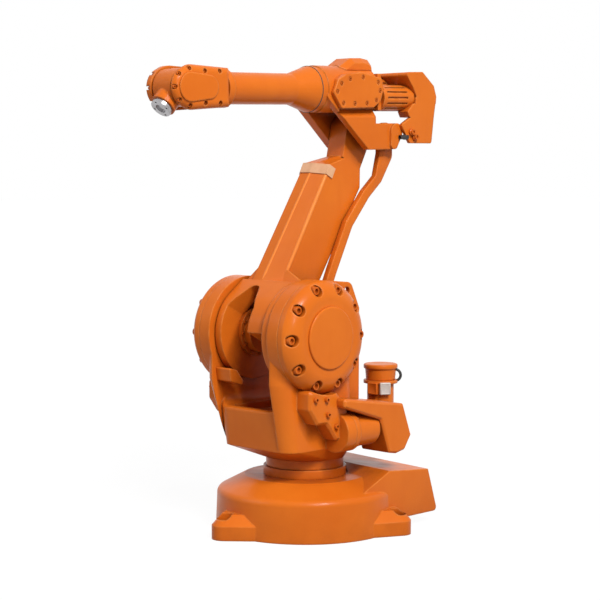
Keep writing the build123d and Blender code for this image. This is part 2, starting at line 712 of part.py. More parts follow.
def make_upper_arm():
    """Upper arm casting with its cheeks and pins."""
    body = bar_x(body_radius, body_back_x, body_front_x, 0, tube_rise)
    body += bar_x(collar_radius, body_front_x, collar_front_x, 0, tube_rise)
    body += block(saddle_back_x, saddle_front_x, far_cheek_outer_y, near_cheek_outer_y - cheek_ledge_depth,
                  saddle_bottom_z, tube_rise)
    body += block(body_back_x - back_plate_thickness, body_back_x, -back_plate_half_width,
                  back_plate_half_width, back_plate_bottom_z, back_plate_top_z)
    body -= block(body_back_x - overrun, collar_front_x + overrun, far_cheek_inner_y, near_cheek_inner_y,
                  saddle_bottom_z - body_radius, arm_channel_z)
    front_tip = dot(cheek_tip_round, cheek_front_x, cheek_front_z)
    low_tip = dot(cheek_tip_round, cheek_low_x, cheek_low_z)
    far = hull(dot(elbow_boss_radius), front_tip, low_tip)
    body += plate_y(far, far_cheek_outer_y, far_cheek_inner_y)
    cheek_bottom_z = cheek_low_z - cheek_tip_round
    ledge_back = rect_between(cheek_ledge_back_x, cheek_low_x, cheek_bottom_z, cheek_ledge_top_z)
    near = plate_y(hull(ledge_back, front_tip, low_tip), near_cheek_inner_y, near_cheek_outer_y)
    boss = hull(dot(rod_boss_radius, -crank_length - rod_boss_shift, 0),
                dot(rod_boss_low_radius, -crank_length, rod_boss_low_z))
    link = hull(boss, rect_between(cheek_ledge_back_x, cheek_low_x, cheek_bottom_z, rod_boss_radius))
    near += plate_y(link, near_cheek_inner_y, near_cheek_outer_y)
    near += plate_y(boss, near_cheek_inner_y, near_cheek_outer_y + rod_boss_stand)
    ledge = polygon((
        (near_cheek_outer_y, cheek_ledge_low_z),
        (near_cheek_outer_y + overrun, cheek_ledge_low_z),
        (near_cheek_outer_y + overrun, cheek_ledge_top_z),
        (near_cheek_outer_y - cheek_ledge_depth, cheek_ledge_top_z),
    ))
    near -= plate_x(ledge, -crank_length, saddle_front_x)
    body += near
    body -= bar_y(elbow_eye_radius + clear_gap, far_cheek_inner_y, near_cheek_inner_y)
    keep("upper_arm_casting", body, upper_place)
    keep("elbow_pin", bar_y(elbow_pin_radius, far_cheek_inner_y, elbow_eye_near_y), upper_place)
    keep("rod_pin", bar_y(rod_pin_radius, rod_far_y, near_cheek_inner_y, -crank_length), upper_place)
    return body


def make_covers(body):
    """Covers bolted on the upper arm casting."""
    front_x, back_x = top_cover_outline[0][0], top_cover_outline[-1][0]
    dome = plate_y(polygon(((back_x, tube_rise), (front_x, tube_rise), *top_cover_outline)),
                   -top_cover_half_width, top_cover_half_width)
    upper_edges = dome.edges().filter_by_position(Axis.Z, top_cover_outline[0][1], shoulder_z)
    dome = chamfer(upper_edges.filter_by(Axis.Y, reverse=True), top_cover_edge)
    dome -= block(back_motor_back_x, body_back_x, -back_plate_half_width, back_plate_half_width,
                  0, back_plate_top_z)
    keep("top_cover", dome - body, upper_place)
    outline = polygon(side_cover_corners)
    outline = fillet(outline.vertices(), side_cover_round)
    for name, side, cheek_y in (("left", 1, near_cheek_outer_y), ("right", -1, -far_cheek_outer_y)):
        face_y = cheek_y + side_cover_stand
        plate = plate_y(outline, side_cover_back_y, face_y)
        for place in side_pocket_places:
            plate -= bar_y(side_pocket_radius, face_y - side_pocket_depth, face_y + overrun, *place)
        if side < 0:
            plate = mirror(plate, Plane.XZ)
        plate = plate - body - dome
        keep(name + "_side_cover", plate.solids().sort_by(SortBy.VOLUME)[-1], upper_place)


def make_back_motors():
    """Two finned motors behind the upper arm and the cover over their ends."""
    motor_front = body_back_x - back_plate_thickness
    outline = polygon(back_cover_outline)
    outline = fillet(outline.vertices(), back_cover_round)
    shell = plate_y(outline, -back_cover_half_width, back_cover_half_width)
    outline = polygon(back_foot_outline)
    outline = fillet(outline.vertices(), back_cover_round)
    shell += plate_y(outline, back_cover_half_width - back_foot_thickness, back_cover_half_width)
    shell += plate_y(polygon(back_tray_outline), near_cheek_inner_y, back_cover_half_width)
    for name, side, height in (("near", 1, back_motor_near_z), ("far", -1, back_motor_far_z)):
        motor_y = side * back_motor_spread
        motor = bar_x(back_motor_radius, back_motor_back_x, motor_front)
        groove = block(back_fin_back_x, back_fin_front_x, back_motor_radius - back_fin_groove,
                       back_motor_radius + overrun, -back_fin_groove / 2, back_fin_groove / 2)
        for index in range(back_fin_count):
            motor -= Rot(index * 360 / back_fin_count, 0, 0) * groove
        keep(name + "_back_motor", Pos(0, motor_y, height) * motor, upper_place)
        shell -= bar_x(back_motor_radius + running_gap, back_motor_back_x, motor_front, motor_y, height)
    keep("back_motor_cover", shell, upper_place)


def make_forearm():
    """Rolling forearm: cone, tube and wrist fork."""
    collar_back_x = wrist_root_x - wrist_collar_length
    outline = polygon((
        (collar_front_x + running_gap, 0),
        (collar_front_x + running_gap, collar_radius),
        (collar_front_x + cone_length, tube_radius),
        (collar_back_x, tube_radius),
        (collar_back_x, 0),
    ))
    keep("forearm_tube", revolve(outline, Axis.X), tube_place)
    keep("wrist_collar", bar_x(wrist_collar_radius, collar_back_x, wrist_root_x), tube_place)
    root = rect_between(wrist_root_x, wrist_slot_x, -wrist_root_half_height, wrist_root_half_height)
    egg = hull(dot(wrist_tip_radius, wrist_reach), dot(wrist_radius, wrist_reach - wrist_belly_run), root)
    wrist = plate_y(egg, -wrist_half_width, wrist_half_width)
    for face in (wrist.faces().sort_by(Axis.Y)[0], wrist.faces().sort_by(Axis.Y)[-1]):
        wrist = fillet(wrist.edges() & face.edges(), wrist_round)
    wrist -= block(wrist_slot_x, wrist_reach + wrist_radius + overrun, -wrist_slot_half_width,
                   wrist_slot_half_width, -wrist_radius - overrun, wrist_radius + overrun)
    pocket_floor = wrist_half_width - wrist_pocket_depth
    pocket_end = wrist_half_width + overrun
    for side in (1, -1):
        start = min(side * pocket_floor, side * pocket_end)
        end = max(side * pocket_floor, side * pocket_end)
        for angle in wrist_pocket_angles:
            pocket = bar_y(wrist_pocket_radius, start, end, wrist_pocket_circle)
            wrist -= Pos(wrist_reach, 0, 0) * Rot(0, angle, 0) * pocket
        for run in wrist_pocket_runs:
            for height in (wrist_pocket_height, -wrist_pocket_height):
                wrist -= bar_y(wrist_pocket_radius, start, end, wrist_reach - run, height)
    keep("wrist_housing", wrist, tube_place)
    outline = hull(dot(wrist_cover_radius, wrist_reach, 0),
                   dot(wrist_cover_back_radius, wrist_reach - wrist_cover_run, 0))
    cover = plate_y(outline, wrist_half_width, wrist_half_width + wrist_cover_thickness)
    keep("left_wrist_cover", cover, tube_place)
    keep("right_wrist_cover", mirror(cover, Plane.XZ), tube_place)


def make_wrist_tip():
    """Tilting head and the turning disc that carries the tool."""
    disc_back = flange_reach - disc_flange_thickness
    head = bar_y(tilt_radius, -tilt_half_width, tilt_half_width)
    pin_end = wrist_slot_half_width - running_gap
    head += bar_y(tilt_pin_radius, -pin_end, pin_end)
    head += bar_x(nose_radius, 0, disc_back - running_gap)
    keep("tilt_head", head, tilt_place)
    disc = bar_x(disc_flange_radius, disc_back, flange_reach)
    disc -= bar_x(disc_bore_radius, flange_reach - disc_bore_depth, flange_reach + overrun)
    for index in range(disc_bolt_count):
        hole = bar_x(disc_bolt_radius, disc_back - overrun, flange_reach + overrun,
                     disc_bolt_circle_radius)
        disc -= Rot(index * 360 / disc_bolt_count, 0, 0) * hole
    keep("turning_disc", disc, tilt_place)


make_foot()
turret_body = make_turret()
make_gear_housings()
make_turret_motors(turret_body)
make_lower_arm()
make_linkage()
make_covers(make_upper_arm())
make_back_motors()
make_forearm()
make_wrist_tip()

os.makedirs("parts", exist_ok=True)
for node_name, node_solid in nodes.items():
    export_step(node_solid, os.path.join("parts", node_name + ".step"))
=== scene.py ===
import json
import logging
import math
from dataclasses import dataclass
from enum import Enum

import bmesh
import bpy
from mathutils import Matrix, Vector


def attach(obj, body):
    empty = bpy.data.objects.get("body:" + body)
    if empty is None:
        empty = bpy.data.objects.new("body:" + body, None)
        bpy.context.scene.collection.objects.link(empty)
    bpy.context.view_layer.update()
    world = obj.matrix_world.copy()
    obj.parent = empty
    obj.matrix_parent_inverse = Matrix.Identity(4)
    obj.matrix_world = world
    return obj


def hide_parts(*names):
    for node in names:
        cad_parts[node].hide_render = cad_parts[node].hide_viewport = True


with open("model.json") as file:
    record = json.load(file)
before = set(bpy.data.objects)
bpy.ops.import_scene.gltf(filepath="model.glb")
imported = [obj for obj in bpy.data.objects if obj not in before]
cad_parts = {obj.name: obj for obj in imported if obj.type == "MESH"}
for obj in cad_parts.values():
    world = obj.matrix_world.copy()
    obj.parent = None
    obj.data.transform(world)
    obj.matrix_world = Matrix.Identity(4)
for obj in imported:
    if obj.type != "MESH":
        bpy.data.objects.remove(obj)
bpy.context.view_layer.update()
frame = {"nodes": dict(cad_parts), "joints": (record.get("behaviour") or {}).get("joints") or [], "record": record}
log = logging.getLogger("robot_arm")

# Lengths are in metres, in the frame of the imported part
SAME_POINT = 1e-6
ROUND_PROFILE = 0.5
SMOOTH_ANGLE = math.radians(35)
SIDES = (("left", 1), ("right", -1))
Colour = tuple[float, float, float]
Point = tuple[float, float, float]
Place = tuple[float, float]


class Slot(Enum):
    """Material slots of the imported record."""

    PAINT = "orange_paint"
    FLANGE = "flange_steel"
    PIN = "pin_steel"
    BAND = "pale_band"


@dataclass(frozen=True)
class Pattern:
    """Noise on a piece's own coordinates, spread from one range of values to another."""

    scale: float
    detail: float
    low: float = 0.0
    high: float = 1.0
    start: float = 0.0
    end: float = 1.0
    stretch: Point = (1, 1, 1)


class Graph:
    """Short way to add and join the nodes of one material."""

    edge_samples: int = 6
    edge_likeness: float = 0.8

    def __init__(self, name: str) -> None:
        """Start an empty material.

        Args:
            name: name of the material.
        """
        self.material = bpy.data.materials.new(name)
        self.material.use_nodes = True
        self.tree = self.material.node_tree
        self.shader = self.tree.nodes["Principled BSDF"]

    def node(self, kind: str, **settings: object) -> bpy.types.Node:
        """Add one node.

        Args:
            kind: Blender's name of the node type.
            settings: attributes to set on the node.

        Returns:
            The new node.
        """
        made = self.tree.nodes.new(kind)
        for key, value in settings.items():
            setattr(made, key, value)
        return made

    def join(self, source: bpy.types.NodeSocket, target: bpy.types.NodeSocket) -> None:
        """Link an output to an input."""
        self.tree.links.new(source, target)

    def noise(self, pattern: Pattern) -> bpy.types.NodeSocket:
        """Add the plain noise of a pattern.

        Args:
            pattern: scale, detail and stretch of the noise.

        Returns:
            The noise value.
        """
        place = self.node("ShaderNodeTexCoord")
        turn = self.node("ShaderNodeMapping")
        turn.inputs["Scale"].default_value = pattern.stretch
        made = self.node("ShaderNodeTexNoise")
        made.inputs["Scale"].default_value = pattern.scale
        made.inputs["Detail"].default_value = pattern.detail
        self.join(place.outputs["Object"], turn.inputs["Vector"])
        self.join(turn.outputs["Vector"], made.inputs["Vector"])
        return made.outputs["Fac"]

    def ramp(self, value: bpy.types.NodeSocket, low: float, high: float,
             start: float = 0.0, end: float = 1.0) -> bpy.types.NodeSocket:
        """Spread a value from one range to another.

        Args:
            value: value to spread.
            low: value that gives start.
            high: value that gives end.
            start: result at low.
            end: result at high.

        Returns:
            The spread value.
        """
        made = self.node("ShaderNodeMapRange")
        made.inputs["From Min"].default_value = low
        made.inputs["From Max"].default_value = high
        made.inputs["To Min"].default_value = start
        made.inputs["To Max"].default_value = end
        self.join(value, made.inputs["Value"])
        return made.outputs["Result"]

    def spread(self, pattern: Pattern, base: float = 0.0) -> bpy.types.NodeSocket:
        """Add a pattern, spread to its own range.

        Args:
            pattern: noise and the range that it is spread to.
            base: value that is added to both ends of that range.

        Returns:
            The spread value.
        """
        noise = self.noise(pattern)
        return self.ramp(noise, pattern.low, pattern.high, base + pattern.start, base + pattern.end)

    def times(self, first: bpy.types.NodeSocket, second: bpy.types.NodeSocket) -> bpy.types.NodeSocket:
        """Multiply two values.

        Args:
            first: one value.
            second: the other value.

        Returns:
            Their product.
        """
        made = self.node("ShaderNodeMath", operation="MULTIPLY")
        self.join(first, made.inputs[0])
        self.join(second, made.inputs[1])
        return made.outputs["Value"]

    def mix(self, share: bpy.types.NodeSocket, first: bpy.types.NodeSocket | Colour,
            second: Colour) -> bpy.types.NodeSocket:
        """Mix two colours.

        Args:
            share: share of the second colour.
            first: colour, or the output that gives it.
            second: colour that is mixed in.

        Returns:
            The mixed colour.
        """
        made = self.node("ShaderNodeMix", data_type="RGBA")
        self.join(share, made.inputs["Factor"])
        if isinstance(first, bpy.types.NodeSocket):
            self.join(first, made.inputs["A"])
        else:
            made.inputs["A"].default_value = (*first, 1)
        made.inputs["B"].default_value = (*second, 1)
        return made.outputs["Result"]

    def bump(self, height: bpy.types.NodeSocket, depth: float, strength: float,
             normal: bpy.types.NodeSocket) -> None:
        """Roughen the surface.

        Args:
            height: pattern of heights.
            depth: height of the pattern, in metres.
            strength: share of the pattern that shows.
            normal: direction of the rounded surface below.
        """
        made = self.node("ShaderNodeBump")
        made.inputs["Distance"].default_value = depth
        made.inputs["Strength"].default_value = strength
        self.join(height, made.inputs["Height"])
        self.join(normal, made.inputs["Normal"])
        self.join(made.outputs["Normal"], self.shader.inputs["Normal"])

    def edges(self, radius: float) -> tuple[bpy.types.NodeSocket, bpy.types.NodeSocket]:
        """Find the edges of a piece.

        Args:
            radius: width of the rounding, in metres.

        Returns:
            The rounded surface direction, and a value that is high at the edges.
        """
        rounding = self.node("ShaderNodeBevel", samples=self.edge_samples)
        rounding.inputs["Radius"].default_value = radius
        plain = self.node("ShaderNodeNewGeometry")
        alike = self.node("ShaderNodeVectorMath", operation="DOT_PRODUCT")
        self.join(rounding.outputs["Normal"], alike.inputs[0])
        self.join(plain.outputs["Normal"], alike.inputs[1])
        return rounding.outputs["Normal"], self.ramp(alike.outputs["Value"], 1.0, self.edge_likeness)


@dataclass(frozen=True)
class Enamel:
    """Sprayed enamel on castings: orange peel, dusty streaks, painted shade in shut-in corners, and edges painted
    paler, partly as worn paint and partly as painted highlight.
    """

    name: str
    colour: Colour = (0.72, 0.166, 0.012)
    shade: Colour = (0.64, 0.132, 0.008)
    # Paler orange on the edges: partly worn paint, partly a painted highlight.
    worn_and_highlit: Colour = (0.86, 0.30, 0.07)
    # Painted shade: this dark colour is laid into shut-in corners, where shade falls.
    corner_shade: Colour = (0.10, 0.012, 0.002)
    roughness: float = 0.34
    specular: float = 0.10
    coat: float = 0.12
    coat_roughness: float = 0.16
    rounding: float = 0.007
    clouds: Pattern = Pattern(scale=4.0, detail=4.0, low=0.35, high=0.7)
    streaks: Pattern = Pattern(scale=26.0, detail=3.0, low=0.5, high=0.75, end=0.35, stretch=(1, 1, 0.12))
    edge_wear_and_highlight: Pattern = Pattern(scale=34.0, detail=5.0, low=0.38, high=0.62, start=0.1, end=0.8)
    # Noise that breaks up the painted corner shade into patches.
    shade_patches: Pattern = Pattern(scale=18.0, detail=4.0, low=0.3, high=0.65, start=0.45)
    sheen: Pattern = Pattern(scale=12.0, detail=5.0, low=0.3, high=0.75, start=-0.06, end=0.12)
    peel: Pattern = Pattern(scale=420.0, detail=2.0)
    peel_depth: float = 0.0006
    peel_share: float = 0.12
    # Largest share of the painted corner shade.
    corner_shade_share: float = 0.8
    corner_samples: int = 6
    corner_reach: float = 0.25
    corner_open: float = 0.7
    corner_shut: float = 0.1

    def make(self) -> bpy.types.Material:
        """Build the material.

        Returns:
            The new material.
        """
        graph = Graph(self.name)
        normal, edge = graph.edges(self.rounding)
        colour = graph.mix(graph.spread(self.clouds), self.colour, self.shade)
        colour = graph.mix(graph.spread(self.streaks), colour, self.shade)
        # Edges painted paler: partly worn paint, partly a painted highlight.
        colour = graph.mix(graph.times(edge, graph.spread(self.edge_wear_and_highlight)), colour, self.worn_and_highlit)
        # Painted shade: corners found by ambient occlusion are darkened, in patches.
        painted_shade = graph.times(self.corners(graph), graph.spread(self.shade_patches))
        colour = graph.mix(painted_shade, colour, self.corner_shade)
        graph.join(colour, graph.shader.inputs["Base Color"])
        graph.join(graph.spread(self.sheen, self.roughness), graph.shader.inputs["Roughness"])
        graph.shader.inputs["Specular IOR Level"].default_value = self.specular
        graph.shader.inputs["Coat Weight"].default_value = self.coat
        graph.shader.inputs["Coat Roughness"].default_value = self.coat_roughness
        graph.bump(graph.noise(self.peel), self.peel_depth, self.peel_share, normal)
        return graph.material

    def corners(self, graph: Graph) -> bpy.types.NodeSocket:
        """Find the shut-in corners, where shade is painted in.

        Args:
            graph: material that the nodes go into.

        Returns:
            Share of painted shade, highest deep in a corner.
        """
        corner = graph.node("ShaderNodeAmbientOcclusion", samples=self.corner_samples)
        corner.inputs["Distance"].default_value = self.corner_reach
        return graph.ramp(corner.outputs["AO"], self.corner_open, self.corner_shut, end=self.corner_shade_share)


@dataclass(frozen=True)
class Metal:
    """Bare metal with fine turning marks and a few stains."""

    name: str
    colour: Colour
    stain: Colour
    roughness: float
    rounding: float = 0.0008
    stains: Pattern = Pattern(scale=60.0, detail=5.0, low=0.5, high=0.72, end=0.6)
    marks: Pattern = Pattern(scale=900.0, detail=3.0, low=0.3, high=0.7, start=-0.07, end=0.09,
                             stretch=(1, 1, 0.1))
    mark_depth: float = 0.0002
    mark_share: float = 0.15

    def make(self) -> bpy.types.Material:
        """Build the material.

        Returns:
            The new material.
        """
        graph = Graph(self.name)
        normal, _ = graph.edges(self.rounding)
        colour = graph.mix(graph.spread(self.stains), self.colour, self.stain)
        graph.join(colour, graph.shader.inputs["Base Color"])
        graph.join(graph.spread(self.marks, self.roughness), graph.shader.inputs["Roughness"])
        graph.shader.inputs["Metallic"].default_value = 1.0
        graph.bump(graph.noise(self.marks), self.mark_depth, self.mark_share, normal)
        return graph.material


@dataclass(frozen=True)
class Moulding:
    """Moulded plastic or rubber with a fine grain and dusty marks."""

    name: str
    colour: Colour
    dust: Colour
    roughness: float
    rounding: float = 0.0015
    dusting: Pattern = Pattern(scale=30.0, detail=5.0, low=0.42, high=0.75, end=0.7)
    sheen: Pattern = Pattern(scale=45.0, detail=4.0, low=0.3, high=0.7, start=-0.08, end=0.1)
    grain: Pattern = Pattern(scale=700.0, detail=2.0)
    grain_depth: float = 0.0004
    grain_share: float = 0.25

    def make(self) -> bpy.types.Material:
        """Build the material.

        Returns:
            The new material.
        """
        graph = Graph(self.name)
        normal, edge = graph.edges(self.rounding)
        dusty = graph.spread(self.dusting)
        colour = graph.mix(dusty, self.colour, self.dust)
        colour = graph.mix(graph.times(edge, dusty), colour, self.dust)
        graph.join(colour, graph.shader.inputs["Base Color"])
        graph.join(graph.spread(self.sheen, self.roughness), graph.shader.inputs["Roughness"])
        graph.bump(graph.noise(self.grain), self.grain_depth, self.grain_share, normal)
        return graph.material


@dataclass(frozen=True)
class Finishes:
    """Materials of the arm, each made once."""

    paint: bpy.types.Material
    dark_paint: bpy.types.Material
    worn_paint: bpy.types.Material
    flange: bpy.types.Material
    pin: bpy.types.Material
    band: bpy.types.Material
    rubber: bpy.types.Material
    grey: bpy.types.Material

    @classmethod
    def make(cls) -> "Finishes":
        """Build every finish of the arm.

        Returns:
            The finishes.
        """
        return cls(
            # Every enamel paints shade into its shut-in corners; the bolt enamel takes a smaller share of it.
            paint=Enamel("orange_enamel").make(),
            dark_paint=Enamel("bolt_enamel", colour=(0.64, 0.135, 0.010), shade=(0.54, 0.10, 0.007),
                              rounding=0.001, corner_shade_share=0.6).make(),
            # Lighter enamel for the ridges: a painted highlight along the lower arm's front edges.
            worn_paint=Enamel("ridge_highlight_enamel", colour=(0.86, 0.26, 0.045), shade=(0.78, 0.21, 0.030)).make(),
            flange=Metal("turned_steel", colour=(0.42, 0.41, 0.42), stain=(0.22, 0.20, 0.19),
                         roughness=0.24).make(),
            pin=Metal("oiled_steel", colour=(0.30, 0.29, 0.28), stain=(0.10, 0.08, 0.06),
                      roughness=0.34).make(),
            band=Moulding("pale_band_rubber", colour=(0.72, 0.40, 0.22), dust=(0.58, 0.28, 0.13),
                          roughness=0.55).make(),
            rubber=Moulding("black_rubber", colour=(0.014, 0.013, 0.013), dust=(0.06, 0.05, 0.045),
                            roughness=0.5).make(),
            grey=Moulding("grey_plastic", colour=(0.58, 0.55, 0.51), dust=(0.40, 0.33, 0.27),
                          roughness=0.45).make(),
        )


class Links:
    """Places and directions of the moving links at rest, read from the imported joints."""

    def __init__(self, joints: list[dict]) -> None:
        """Work out each link's place.

        Args:
            joints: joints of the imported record.
        """
        named = {joint["name"]: joint for joint in joints}
        side = Vector(named["upper_arm_pitch"]["axis"])
        shoulder = Vector(named["upper_arm_pitch"]["pos_m"])
        elbow = Vector(named["elbow_swing"]["pos_m"])
        wrist = Vector(named["wrist_tilt"]["pos_m"])
        along = Vector(named["forearm_roll"]["axis"])
        up = Vector((0, 0, 1))
        self.foot = Matrix.Identity(4)
        self.turret = self.place(Vector(), side.cross(up), side)
        self.shoulder = self.place(shoulder, side.cross(up), side)
        self.lower_arm = self.place(shoulder, side.cross((elbow - shoulder).normalized()), side)
        self.upper_arm = self.place(elbow, along, side)
        self.wrist = self.place(wrist, along, side)

    @staticmethod
    def place(origin: Vector, forward: Vector, side: Vector) -> Matrix:
        """Make the place of a link.

        Args:
            origin: point that becomes the link's origin.
            forward: direction that becomes X.
            side: direction that becomes Y.

        Returns:
            The place.
        """
        up = forward.cross(side)
        turn = Matrix((forward, side, up)).transposed().to_4x4()
        return Matrix.Translation(origin) @ turn


def facing(place: Matrix, point: Point, direction: Point) -> Matrix:
    """Place on a link whose Z axis points along a direction of that link.

    Args:
        place: place of the link.
        point: point on the link.
        direction: direction on the link that becomes Z.

    Returns:
        The place.
    """
    turn = Vector((0, 0, 1)).rotation_difference(Vector(direction)).to_matrix().to_4x4()
    return place @ Matrix.Translation(point) @ turn


def ring(count: int, radius: float, shift: float = 0.0) -> list[Place]:
    """Spread points evenly round a circle.

    Args:
        count: number of points.
        radius: radius of the circle.
        shift: turn of the first point, as a share of one step.

    Returns:
        Both coordinates of each point.
    """
    angles = [(index + shift) * math.tau / count for index in range(count)]
    return [(radius * math.cos(angle), radius * math.sin(angle)) for angle in angles]


def raise_faces(shape: bmesh.types.BMesh, faces: list[bmesh.types.BMFace], height: float) -> None:
    """Pull faces out along Z, or push them in.

    Args:
        shape: bmesh that holds the faces.
        faces: faces to move.
        height: distance; a negative one sinks them.
    """
    grown = bmesh.ops.extrude_face_region(shape, geom=faces)
    moved = [part for part in grown["geom"] if isinstance(part, bmesh.types.BMVert)]
    bmesh.ops.translate(shape, vec=(0, 0, height), verts=moved)


def edges_at(shape: bmesh.types.BMesh, height: float) -> list[bmesh.types.BMEdge]:
    """Find the edges that lie at one height.

    Args:
        shape: bmesh to search.
        height: height along Z.

    Returns:
        The edges.
    """
    return [edge for edge in shape.edges
            if all(abs(vert.co.z - height) < SAME_POINT for vert in edge.verts)]


def round_edges(shape: bmesh.types.BMesh, edges: list[bmesh.types.BMEdge], width: float, segments: int,
                clamp: bool = False) -> None:
    """Round some edges of a shape.

    Args:
        shape: bmesh that holds the edges.
        edges: edges to round.
        width: width of the rounding.
        segments: steps across the rounding.
        clamp: whether it narrows where two roundings would meet.
    """
    bmesh.ops.bevel(shape, geom=edges, offset=width, segments=segments, profile=ROUND_PROFILE,
                    affect="EDGES", material=-1, clamp_overlap=clamp)


def to_mesh(shape: bmesh.types.BMesh, name: str) -> bpy.types.Mesh:
    """Close a bmesh into a mesh with its faces outwards.

    Args:
        shape: bmesh to close; it is freed.
        name: name of the mesh.

    Returns:
        The new mesh.
    """
    bmesh.ops.remove_doubles(shape, verts=shape.verts[:], dist=SAME_POINT)
    bmesh.ops.recalc_face_normals(shape, faces=shape.faces[:])
    made = bpy.data.meshes.new(name)
    shape.to_mesh(made)
    shape.free()
    return made


def repeat(mesh: bpy.types.Mesh, places: list[Matrix], name: str) -> bpy.types.Mesh:
    """Put copies of one mesh at several places.

    Args:
        mesh: mesh to repeat.
        places: place of each copy.
        name: name of the new mesh.

    Returns:
        One mesh that holds all the copies.
    """
    shape = bmesh.new()
    for place in places:
        before = len(shape.verts)
        shape.from_mesh(mesh)
        shape.verts.ensure_lookup_table()
        bmesh.ops.transform(shape, matrix=place, verts=shape.verts[before:])
    made = bpy.data.meshes.new(name)
    shape.to_mesh(made)
    shape.free()
    return made


def add_piece(mesh: bpy.types.Mesh, material: bpy.types.Material, body: str) -> bpy.types.Object:
    """Put a finished mesh into the scene, as a piece of the same name.

    Args:
        mesh: mesh in the row frame.
        material: finish of the piece.
        body: CAD body that it rides on.

    Returns:
        The new object.
    """
    mesh.materials.append(material)
    mesh.polygons.foreach_set("use_smooth", [True] * len(mesh.polygons))
    mesh.set_sharp_from_angle(angle=SMOOTH_ANGLE)
    piece = bpy.data.objects.new(mesh.name, mesh)
    bpy.context.scene.collection.objects.link(piece)
    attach(piece, body)
    log.info("%s: %d faces on %s", piece.name, len(mesh.polygons), body)
    return piece


@dataclass(frozen=True)
class Screw:
    """Socket-head screw that stands on its own Z axis."""

    radius: float
    height: float
    segments: int = 20
    rim_share: float = 0.275
    socket_depth_share: float = 0.6
    edge_share: float = 0.14
    edge_segments: int = 2

    def mesh(self) -> bpy.types.Mesh:
        """Model the screw's head with its sunk socket.

        Returns:
            The mesh of one screw.
        """
        shape = bmesh.new()
        bmesh.ops.create_circle(shape, cap_ends=True, segments=self.segments, radius=self.radius)
        raise_faces(shape, shape.faces[:], self.height)
        shape.faces.ensure_lookup_table()
        round_edges(shape, edges_at(shape, self.height), self.radius * self.edge_share, self.edge_segments)
        crown = max(shape.faces, key=lambda face: face.calc_center_median().z)
        bmesh.ops.inset_region(shape, faces=[crown], thickness=self.radius * self.rim_share)
        raise_faces(shape, [crown], -self.height * self.socket_depth_share)
        bmesh.ops.delete(shape, geom=[crown], context="FACES_ONLY")
        return to_mesh(shape, "screw")


@dataclass(frozen=True)
class HexBolt:
    """Hexagon bolt on its washer, standing on its own Z axis."""

    radius: float
    height: float
    washer_radius: float
    washer_height: float
    head_sides: int = 6
    washer_segments: int = 32
    edge: float = 0.001
    edge_segments: int = 2

    def mesh(self) -> bpy.types.Mesh:
        """Model the washer and the chamfered head.

        Returns:
            The mesh of one bolt.
        """
        shape = bmesh.new()
        for segments, radius, low, high in (
            (self.washer_segments, self.washer_radius, 0.0, self.washer_height),
            (self.head_sides, self.radius, self.washer_height, self.washer_height + self.height),
        ):
            base = bmesh.ops.create_circle(shape, cap_ends=True, segments=segments, radius=radius,
                                           matrix=Matrix.Translation((0, 0, low)))
            raise_faces(shape, [base["verts"][0].link_faces[0]], high - low)
            round_edges(shape, edges_at(shape, high), self.edge, self.edge_segments)
        return to_mesh(shape, "hex_bolt")


@dataclass(frozen=True)
class Connector:
    """Round screwed connector that stands on its own Z axis."""

    radius: float
    length: float
    segments: int = 24
    collar_share: float = 0.45
    slope_share: float = 0.125
    neck_share: float = 0.82
    mouth_share: float = 0.6
    bore_share: float = 0.55
    bore_floor_share: float = 0.7

    def mesh(self) -> bpy.types.Mesh:
        """Turn the connector's outline round its axis.

        Returns:
            The mesh of one connector.
        """
        shape = bmesh.new()
        neck = self.radius * self.neck_share
        collar = self.length * self.collar_share
        bore_floor = self.length * self.bore_floor_share
        outline = (
            (0.0, 0.0),
            (self.radius, 0.0),
            (self.radius, collar),
            (neck, collar + self.length * self.slope_share),
            (neck, self.length),
            (neck * self.mouth_share, self.length),
            (neck * self.bore_share, bore_floor),
            (0.0, bore_floor),
        )
        points = [shape.verts.new((radius, 0, height)) for radius, height in outline]
        lines = [shape.edges.new(pair) for pair in zip(points, points[1:])]
        bmesh.ops.spin(shape, geom=points + lines, cent=(0, 0, 0), axis=(0, 0, 1), angle=math.tau,
                       steps=self.segments, use_merge=True)
        return to_mesh(shape, "connector")


@dataclass(frozen=True)
class Ridge:
    """Slim round ridge, sunk in a casting, that thins out at its foot."""

    name: str
    foot: Point
    top: Point
    radius: float
    segments: int = 24
    foot_share: float = 0.7
    foot_run_share: float = 4.0

    def mesh(self, link: Matrix) -> bpy.types.Mesh:
        """Model the ridge along its middle line.

        Args:
            link: place of the link that carries it.

        Returns:
            The mesh, in its place.
        """
        line = Vector(self.top) - Vector(self.foot)
        shape = bmesh.new()
        base = bmesh.ops.create_circle(shape, cap_ends=True, segments=self.segments,
                                       radius=self.radius * self.foot_share)
        end = base["verts"][0].link_faces[0]
        for height in (self.radius * self.foot_run_share, line.length):
            end = bmesh.ops.extrude_discrete_faces(shape, faces=[end])["faces"][0]
            lift = Vector((0, 0, height)) - end.calc_center_median()
            bmesh.ops.translate(shape, vec=lift, verts=end.verts[:])
            share = self.radius / (end.verts[0].co - end.calc_center_median()).length
            bmesh.ops.scale(shape, vec=(share, share, 1), verts=end.verts[:])
        place = facing(link, self.foot, tuple(line.normalized()))
        bmesh.ops.transform(shape, matrix=place, verts=shape.verts[:])
        return to_mesh(shape, self.name)


@dataclass(frozen=True)
class Castings:
    """Finishes of the solids themselves."""

    finishes: Finishes

    def dress(self) -> None:
        """Give each solid the finish of its slot."""
        by_slot = {
            Slot.PAINT.value: self.finishes.paint,
            Slot.FLANGE.value: self.finishes.flange,
            Slot.PIN.value: self.finishes.pin,
            Slot.BAND.value: self.finishes.band,
        }
        for part in frame["record"]["subparts"]:
            solid = frame["nodes"][part["node"]]
            solid.data.materials.clear()
            solid.data.materials.append(by_slot[part["material_slot"]])
            log.info("%s: %s", part["node"], part["material_slot"])


